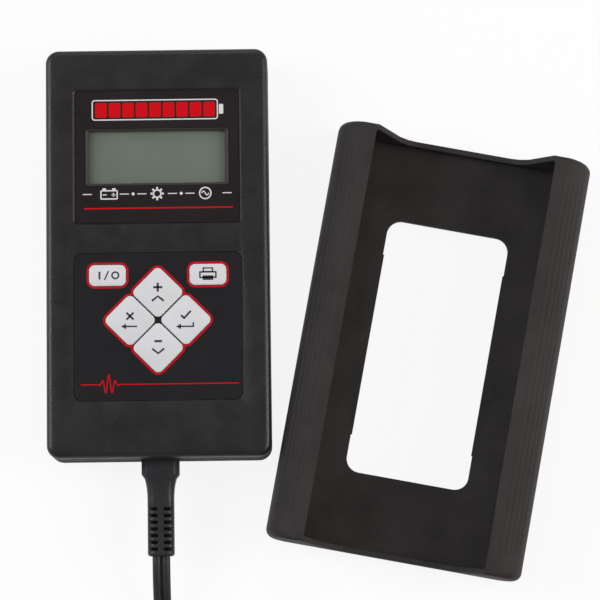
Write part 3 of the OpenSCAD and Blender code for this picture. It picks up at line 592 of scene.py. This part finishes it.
def patch(width, height, at, corner, turn=0.0):
    """A flat printed patch with rounded corners, before it gets the ink's thickness."""
    bpy.ops.mesh.primitive_plane_add(
        size=1, location=[c * mm for c in at], rotation=(0, 0, math.radians(turn))
    )
    made = bpy.context.object
    made.scale = (width * mm, height * mm, 1)
    settle(made)
    if corner:
        edit_all(made)
        bpy.ops.mesh.bevel(offset=corner * mm, segments=5, affect="VERTICES", clamp_overlap=True)
        close_edit()
    return made


def disc(radius, at):
    bpy.ops.mesh.primitive_circle_add(
        vertices=32, radius=radius * mm, fill_type="NGON", location=[c * mm for c in at]
    )
    made = bpy.context.object
    settle(made)
    return made


def outlined(made, stroke):
    """Leaves only the stroke round the edge of a patch."""
    edit_all(made)
    bpy.ops.mesh.select_mode(type="FACE")
    bpy.ops.mesh.select_all(action="SELECT")
    bpy.ops.mesh.inset(thickness=stroke * mm, depth=0, use_even_offset=True)
    bpy.ops.mesh.delete(type="FACE")
    close_edit()
    return made


def stroke_along(points, width, z):
    """A printed line of even width through the points."""
    sides = []
    for i, (x, y) in enumerate(points):
        back = points[max(i - 1, 0)]
        on = points[min(i + 1, len(points) - 1)]
        run_x, run_y = on[0] - back[0], on[1] - back[1]
        length = math.hypot(run_x, run_y)
        sides.append((x, y, -run_y / length * width / 2, run_x / length * width / 2))
    mesh = bpy.data.meshes.new("line")
    mesh.from_pydata(
        [((x + s * u) * mm, (y + s * v) * mm, z * mm) for x, y, u, v in sides for s in (-1, 1)],
        [],
        [(2 * i, 2 * i + 2, 2 * i + 3, 2 * i + 1) for i in range(len(points) - 1)],
    )
    made = bpy.data.objects.new("line", mesh)
    bpy.context.scene.collection.objects.link(made)
    return made


def thicken(made, low, high):
    """Turns a flat patch into a block from low to high, as measured from the patch."""
    edit_all(made)
    bpy.ops.mesh.extrude_region_move(
        TRANSFORM_OT_translate={"value": (0, 0, (high - low) * mm)}
    )
    bpy.ops.mesh.select_all(action="SELECT")
    bpy.ops.mesh.normals_make_consistent(inside=False)
    bpy.ops.transform.translate(value=(0, 0, low * mm))
    close_edit()


def one_of(name, pieces):
    """Joins several objects into one, with the first one's origin."""
    deselect_all()
    for piece in pieces:
        piece.select_set(True)
    bpy.context.view_layer.objects.active = pieces[0]
    if len(pieces) > 1:
        bpy.ops.object.join()
    pieces[0].name = pieces[0].data.name = name
    return pieces[0]


def print_down(name, patches, finish, body):
    """Joins the patches of one ink and gives them its thickness."""
    layer = one_of(name, patches)
    thicken(layer, 0, ink_thickness)
    layer.data.materials.clear()
    layer.data.materials.append(finish)
    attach(layer, body)
    return layer


ink_white = printed("ink_white", (0.6, 0.6, 0.61))
ink_red = printed("ink_red", (0.52, 0.001, 0.006), gloss=0.1)
gauge_y = 65.8
bar_count, first_bar, bar_pitch = 9, -25.5, 6.2
print_down(
    "gauge_outline",
    [
        outlined(patch(58, 9.6, (-0.8, gauge_y, label_top), 1.4), 0.55),
        patch(2, 4.6, (29.6, gauge_y, label_top), 0.5),
    ],
    ink_white, "tester",
)
print_down(
    "gauge_bars",
    [
        patch(5.4, 6.8, (first_bar + bar_pitch * k, gauge_y, label_top), 0.6)
        for k in range(bar_count)
    ],
    ink_red, "tester",
)

sign_y = 26.8
battery_x, current_x, dot_x = -22, 22, 11
gear_radius, tooth_count = 2.5, 8
wave_points, wave_height = 40, 0.9
one_wave = [
    (current_x - 1.6 + 3.2 * k / wave_points,
     sign_y + wave_height * math.sin(2 * math.pi * k / wave_points))
    for k in range(wave_points + 1)
]
print_down(
    "test_signs",
    [
        outlined(patch(8, 4.4, (battery_x, sign_y - 0.3, label_top), 0.5), 0.6),
        patch(1.6, 0.9, (battery_x - 2.2, sign_y + 2.3, label_top), 0.1),
        patch(1.6, 0.9, (battery_x + 2.2, sign_y + 2.3, label_top), 0.1),
        patch(1.8, 0.5, (battery_x - 2, sign_y - 0.3, label_top), 0.05),
        patch(1.8, 0.5, (battery_x + 2, sign_y - 0.3, label_top), 0.05),
        patch(0.5, 1.8, (battery_x + 2, sign_y - 0.3, label_top), 0.05),
        disc(0.7, (-dot_x, sign_y, label_top)),
        outlined(disc(2.1, (0, sign_y, label_top)), 0.7),
        *[
            patch(
                0.9, 1.1,
                (gear_radius * math.cos(a), sign_y + gear_radius * math.sin(a), label_top),
                0.15, math.degrees(a) + 90,
            )
            for a in [2 * math.pi * k / tooth_count for k in range(tooth_count)]
        ],
        disc(0.7, (dot_x, sign_y, label_top)),
        outlined(disc(2.9, (current_x, sign_y, label_top)), 0.6),
        stroke_along(one_wave, 0.5, label_top),
        *[patch(4.2, 0.45, (x, sign_y, label_top), 0.1) for x in (-32, -15, -7, 7, 15, 32)],
    ],
    ink_white, "tester",
)
print_down(
    "display_rule", [patch(68, 0.62, (0.5, 20.2, label_top), 0.1)],
    ink_red, "tester",
)

# ---- Keypad
# A membrane keypad: black printed film over a printed circuit, with a spring-steel dome under
# each of its six grey keys. Red borders are printed round the keys, and a red rule below them.
overlay_film = moulded(
    "overlay_film", (0.0078, 0.0066, 0.0082), 0.32, 2600, 0.15, cloud=25, mottle=0.08, gloss=0.34
)
key_face = moulded("key_face", (0.6, 0.605, 0.62), 0.42, 2600, 0.12, cloud=90, mottle=0.03)
ink_grey = printed("ink_grey", (0.035, 0.035, 0.04))
coat(overlay_film, "keypad_overlay")
overlay_top = 32.05
key_top = 32.45
oblong_x, oblong_y = 22.9, -10.8
oblong_width, oblong_height = 16.8, 9.6
diamond_y, diamond_reach = -31.5, 12.7
square_side = 17.3
key_corner = 2.6
key_place = {
    "on_off": (-oblong_x, oblong_y),
    "print": (oblong_x, oblong_y),
    "up": (0, diamond_y + diamond_reach),
    "down": (0, diamond_y - diamond_reach),
    "no": (-diamond_reach, diamond_y),
    "yes": (diamond_reach, diamond_y),
}
for key in key_place:
    eased("key_" + key, 0.12, key_face, sharper=40)

border_outer, border_inner = 1.12, 0.36
cutter_depth = 1.0
diamond_filler = 8


def combine(base, other, way):
    """Joins another block to the base or cuts it away from it."""
    step = base.modifiers.new("combine", "BOOLEAN")
    step.operation, step.object, step.solver = way, other, "EXACT"
    take(base)
    bpy.ops.object.modifier_apply(modifier=step.name)
    bpy.data.objects.remove(other)


def border(name, shapes):
    """The line round one shape or several that touch, cut from their grown outline."""
    grown, inner = [
        [
            patch(w + 2 * by, h + 2 * by, (x, y, overlay_top), key_corner + by, turn)
            for x, y, w, h, turn in shapes
        ]
        for by in (border_outer, border_inner)
    ]
    if len(shapes) > 1:
        inner.append(
            patch(diamond_filler, diamond_filler, (0, diamond_y, overlay_top), 0, 45)
        )
    for made in grown:
        thicken(made, 0, ink_thickness)
    for made in inner:
        thicken(made, -cutter_depth, cutter_depth)
    for group in (grown, inner):
        for other in group[1:]:
            combine(group[0], other, "UNION")
    line = grown[0]
    combine(line, inner[0], "DIFFERENCE")
    line.name = line.data.name = name
    line.data.materials.append(ink_red)
    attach(line, "tester")


for k, x in enumerate((-oblong_x, oblong_x)):
    border(f"border_{k}", [(x, oblong_y, oblong_width, oblong_height, 0)])
border(
    "border_diamond",
    [(*key_place[key], square_side, square_side, 45) for key in ("up", "yes", "down", "no")],
)

rule_y = -60.7
ripple_x, ripple_reach, ripple_height, ripple_points = -22.5, 5.2, 4.6, 72
ripple = [
    (
        ripple_x + ripple_reach * t,
        rule_y
        + ripple_height * math.cos(3.5 * math.pi * t) * math.cos(math.pi * t / 2) ** 2,
    )
    for t in [-1 + 2 * k / ripple_points for k in range(ripple_points + 1)]
]
print_down(
    "keypad_rule",
    [
        patch(7.6, 0.45, (-31.5, rule_y, overlay_top), 0.1),
        patch(54, 0.45, (9.6, rule_y, overlay_top), 0.1),
        stroke_along(ripple, 0.5, overlay_top),
    ],
    ink_red, "tester",
)


def on_key(key, dx, dy):
    """A point on a key's face, from the key's middle."""
    x, y = key_place[key]
    return (x + dx, y + dy, key_top)


def key_stroke(key, points, width):
    return stroke_along([on_key(key, dx, dy)[:2] for dx, dy in points], width, key_top)


def chevron(key, dy, way):
    """A printed arrowhead, wide and low, pointing up or down the face."""
    tip = [(-2.7, dy - 1.1 * way), (0, dy + 1.1 * way), (2.7, dy - 1.1 * way)]
    return key_stroke(key, tip, 0.95)


def left_arrow(key, dx, dy):
    """A printed triangle that points to the left."""
    bpy.ops.mesh.primitive_circle_add(
        vertices=3, radius=1.5 * mm, fill_type="NGON",
        location=[c * mm for c in on_key(key, dx, dy)], rotation=(0, 0, math.pi / 2),
    )
    made = bpy.context.object
    settle(made)
    return made


def legend(key, patches):
    print_down("legend_" + key, patches, ink_grey, "key_" + key)


legend("up", [
    patch(4.1, 1, on_key("up", 0, 2.3), 0.05),
    patch(1, 4.1, on_key("up", 0, 2.3), 0.05),
    chevron("up", -2.9, 1),
])
legend("down", [
    patch(3.4, 1.05, on_key("down", 0, 3), 0.05),
    chevron("down", -1.5, -1),
])
legend("no", [
    patch(4.6, 0.9, on_key("no", 0, 1.9), 0.05, 45),
    patch(4.6, 0.9, on_key("no", 0, 1.9), 0.05, -45),
    left_arrow("no", -2.6, -2.8),
    patch(5.4, 0.7, on_key("no", 0.5, -2.8), 0.05),
])
legend("yes", [
    key_stroke("yes", [(-2.2, 2.1), (-0.7, 0.55)], 0.9),
    key_stroke("yes", [(-0.98, 0.5), (2.3, 4)], 0.9),
    left_arrow("yes", -3, -3.1),
    patch(6.4, 0.7, on_key("yes", 0.5, -3.1), 0.05),
    patch(0.7, 2.2, on_key("yes", 3.35, -2.35), 0.05),
])
ring_x, ring_radius, ring_points = 3.6, 1.5, 24
ring = [
    (ring_x + ring_radius * math.sin(a), ring_radius * math.cos(a))
    for a in [2 * math.pi * k / ring_points for k in range(ring_points + 1)]
]
legend("on_off", [
    patch(0.85, 3.6, on_key("on_off", -3.6, 0), 0.05),
    patch(0.6, 4.6, on_key("on_off", -0.4, 0), 0.05, -24),
    key_stroke("on_off", ring, 0.75),
])
legend("print", [
    outlined(patch(8, 3.2, on_key("print", 0, -0.2), 0.4), 0.7),
    outlined(patch(4.8, 2.3, on_key("print", 0, 2), 0.1), 0.6),
    patch(4.8, 2.1, on_key("print", 0, -1.6), 0.1),
])

# ---- Inside the tester
# Two circuit boards with their parts, joined by a ribbon. Heat sink, ceramic resistor and
# transistors load the battery under test. All of it is ordinary bought-in hardware.
circuit_board, board_tree, board_shader = blank_finish("circuit_board", (0.012, 0.12, 0.045), 0.32)
tracks = add_node(
    board_tree, "ShaderNodeTexBrick", Vector=object_place(board_tree), Scale=160.0,
    Color1=(0.010, 0.10, 0.038, 1), Color2=(0.013, 0.125, 0.047, 1), Mortar=(0.03, 0.2, 0.08, 1),
    Mortar_Size=0.03,
)
put_in(board_tree, board_shader.inputs["Base Color"], tracks.outputs["Color"])
mask_relief = add_node(
    board_tree, "ShaderNodeBump", Height=tracks.outputs["Fac"], Strength=0.2, Distance=0.03 * mm
)
put_in(board_tree, board_shader.inputs["Normal"], mask_relief.outputs[0])
coat(circuit_board, "main_board", "lcd_board")
coat(moulded("circuit_film", (0.5, 0.3, 0.05), 0.35, 1500, 0.1), "keypad_circuit")
coat(moulded("light_guide", (0.75, 0.78, 0.7), 0.3, 1500, 0.1, mottle=0.03), "lcd_backlight")
chip_black = moulded("chip_black", (0.012, 0.012, 0.013), 0.5, 2500, 0.3)
coat(chip_black, "chips", "power_transistors")
coat(moulded("capacitor_sleeve", (0.02, 0.03, 0.11), 0.3, 900, 0.1), "capacitors")
coat(moulded("resistor_ceramic", (0.5, 0.46, 0.38), 0.75, 1800, 0.5), "load_resistor")
coat(machined("sink_aluminium", (0.75, 0.76, 0.78), 0.38, (300, 300, 5000)), "heat_sink")
coat(moulded("buzzer_black", (0.01, 0.01, 0.01), 0.35, 1800, 0.2), "buzzer")
coat(moulded("emitter_lens", (0.05, 0.02, 0.08), 0.1, 600, 0.03), "ir_emitter")
coat(moulded("ir_filter", (0.045, 0.003, 0.006), 0.14, 500, 0.04, mottle=0.2), "ir_window")
connector_nylon = moulded("connector_nylon", (0.72, 0.68, 0.56), 0.5, 1500, 0.2, mottle=0.04)
coat(connector_nylon, "board_connectors")
ribbon_grey, ribbon_tree, ribbon_shader = blank_finish("ribbon_grey", (0.3, 0.3, 0.32), 0.45)
cores = add_node(
    ribbon_tree, "ShaderNodeTexWave", Vector=object_place(ribbon_tree), Scale=250.0,
    bands_direction="X", wave_profile="SIN",
)
# Painted light and shade: the ribbon is coloured lighter along the crests of its cores and darker
# in the grooves between them, following the same waves as its relief.
core_painted_shading = add_node(ribbon_tree, "ShaderNodeValToRGB", Fac=cores.outputs["Fac"])
core_painted_shading.color_ramp.elements[0].color = (0.18, 0.18, 0.2, 1)
core_painted_shading.color_ramp.elements[1].color = (0.36, 0.36, 0.38, 1)
put_in(ribbon_tree, ribbon_shader.inputs["Base Color"], core_painted_shading.outputs[0])
core_relief = add_node(
    ribbon_tree, "ShaderNodeBump", Height=cores.outputs["Fac"], Strength=0.6, Distance=0.2 * mm
)
put_in(ribbon_tree, ribbon_shader.inputs["Normal"], core_relief.outputs[0])
coat(ribbon_grey, "display_cable")
coat(moulded("wire_red", (0.35, 0.015, 0.015), 0.35, 1200, 0.1), "input_wires")
dome_steel = machined("dome_steel", (0.78, 0.78, 0.8), 0.22)
for key, (x, y) in key_place.items():
    dome = eased("dome_" + key, 0.03, dome_steel)
    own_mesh(dome)

# ---- Rubber boot
# One soft black moulding that the tester slides into. Two thick rails grip its sides, low
# notched walls close the ends, and a large window in the floor leaves the back bare.
boot_rubber = moulded(
    "boot_rubber", (0.0305, 0.0268, 0.0268), 0.62, 1500, 0.35, cloud=40, mottle=0.24, gloss=0.14
)
eased("boot", 0.7, boot_rubber, sharper=34, segments=3)

# Five fine ribs run along each rail, and sink into it at their ends. The swings are the
# angles at which they stand round the rail's rounded section, from the table upwards.
boot_turn = math.radians(-11)
boot_box = [Vector(corner) for corner in nodes["boot"].bound_box]
boot_middle = (boot_box[0] + boot_box[6]) / 2
rail_inner, rail_outer = 42.4, 58.9
rail_middle, rail_height = 20, 18.2
rail_roundness = 2.4
rib_swings = (77, 68, 59, 49, 38)
rib_radius = 1.6
rib_sunk = 1.26
rib_length = 170
rib_fade = 8
rib_end_size = 0.5
ribs = []
for side in (-1, 1):
    for swing in rib_swings:
        out, up = math.cos(math.radians(swing)), math.sin(math.radians(swing))
        bulge_out, bulge_up = out ** (2 / rail_roundness), up ** (2 / rail_roundness)
        rib_x = rail_inner + (rail_outer - rail_inner) * bulge_out - rib_sunk * out
        rib_z = rail_middle + rail_height * bulge_up - rib_sunk * up
        bpy.ops.mesh.primitive_cylinder_add(
            vertices=16, radius=rib_radius * mm, depth=rib_length * mm,
            rotation=(math.pi / 2, 0, 0), location=(side * rib_x * mm, 0, rib_z * mm),
        )
        rib = bpy.context.object
        settle(rib)
        for end in (-1, 1):
            edit_all(rib)
            bpy.ops.mesh.select_all(action="DESELECT")
            close_edit()
            for face in rib.data.polygons:
                face.select = face.normal.y * end > 0.9
            bpy.ops.object.mode_set(mode="EDIT")
            bpy.ops.mesh.select_mode(type="FACE")
            bpy.ops.mesh.extrude_region_move(
                TRANSFORM_OT_translate={"value": (0, rib_fade * end * mm, 0)}
            )
            bpy.ops.transform.resize(value=(rib_end_size, 1, rib_end_size))
            close_edit()
        ribs.append(rib)
boot_ribs = one_of("boot_ribs", ribs)
boot_ribs.data.transform(
    Matrix.Translation((boot_middle.x, boot_middle.y, 0)) @ Matrix.Rotation(boot_turn, 4, "Z")
)
take(boot_ribs)
bpy.ops.object.shade_smooth_by_angle(angle=math.radians(50))
boot_ribs.data.materials.append(boot_rubber)
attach(boot_ribs, "boot")

# ---- Table and light
# A white table that runs on past the view, a cool soft light on the left, a warmer one on the
# right, a weaker one beyond the display end, and an even pale room.
table_size = 6
table_level = -0.0002
table_glow = 0.88
light_aim = Vector((0.06, -0.04, 0))
room_level = 0.32
bpy.ops.mesh.primitive_plane_add(size=table_size, location=(0, 0, table_level))
table_top = bpy.context.object
table_top.name = "table_top"
table_white, table_tree, table_shader = blank_finish("table_white", (0.82, 0.82, 0.82), 0.8)
rays = add_node(table_tree, "ShaderNodeLightPath").outputs
seen = add_node(
    table_tree, "ShaderNodeMath", rays["Is Camera Ray"], rays["Is Glossy Ray"],
    operation="MAXIMUM",
)
seen_through = add_node(
    table_tree, "ShaderNodeMath", seen.outputs[0], rays["Is Transmission Ray"],
    operation="MAXIMUM",
)
glow_share = add_node(
    table_tree, "ShaderNodeMath", seen_through.outputs[0], table_glow, operation="MULTIPLY"
)
glow = add_node(table_tree, "ShaderNodeEmission", Strength=1.0)
table_mix = add_node(
    table_tree, "ShaderNodeMixShader", glow_share.outputs[0], table_shader.outputs[0],
    glow.outputs[0],
)
table_surface = table_tree.nodes["Material Output"].inputs["Surface"]
put_in(table_tree, table_surface, table_mix.outputs[0])
table_top.data.materials.append(table_white)


def soft_light(name, place, size, power, colour=(1, 1, 1)):
    bpy.ops.object.light_add(type="AREA", location=place)
    lamp = bpy.context.object
    lamp.name = name
    lamp.data.shape = "DISK"
    lamp.data.size = size
    lamp.data.energy = power
    lamp.data.color = colour
    lamp.rotation_mode = "QUATERNION"
    lamp.rotation_quaternion = (light_aim - Vector(place)).to_track_quat("-Z", "Y")


soft_light("light_left", (-1.25, 0.2, 1.0), 1.0, 17.5, (0.94, 0.965, 1))
soft_light("light_right", (1.35, -0.1, 0.9), 1.0, 17.5, (1, 0.96, 0.92))
soft_light("light_back", (0.1, 1.5, 1.1), 0.8, 5)
room = bpy.data.worlds.new("room")
bpy.context.scene.world = room
room.use_nodes = True
room_background = room.node_tree.nodes["Background"]
room_background.inputs["Color"].default_value = (1, 1, 1, 1)
room_background.inputs["Strength"].default_value = room_level

bpy.context.scene.view_settings.view_transform = "Standard"
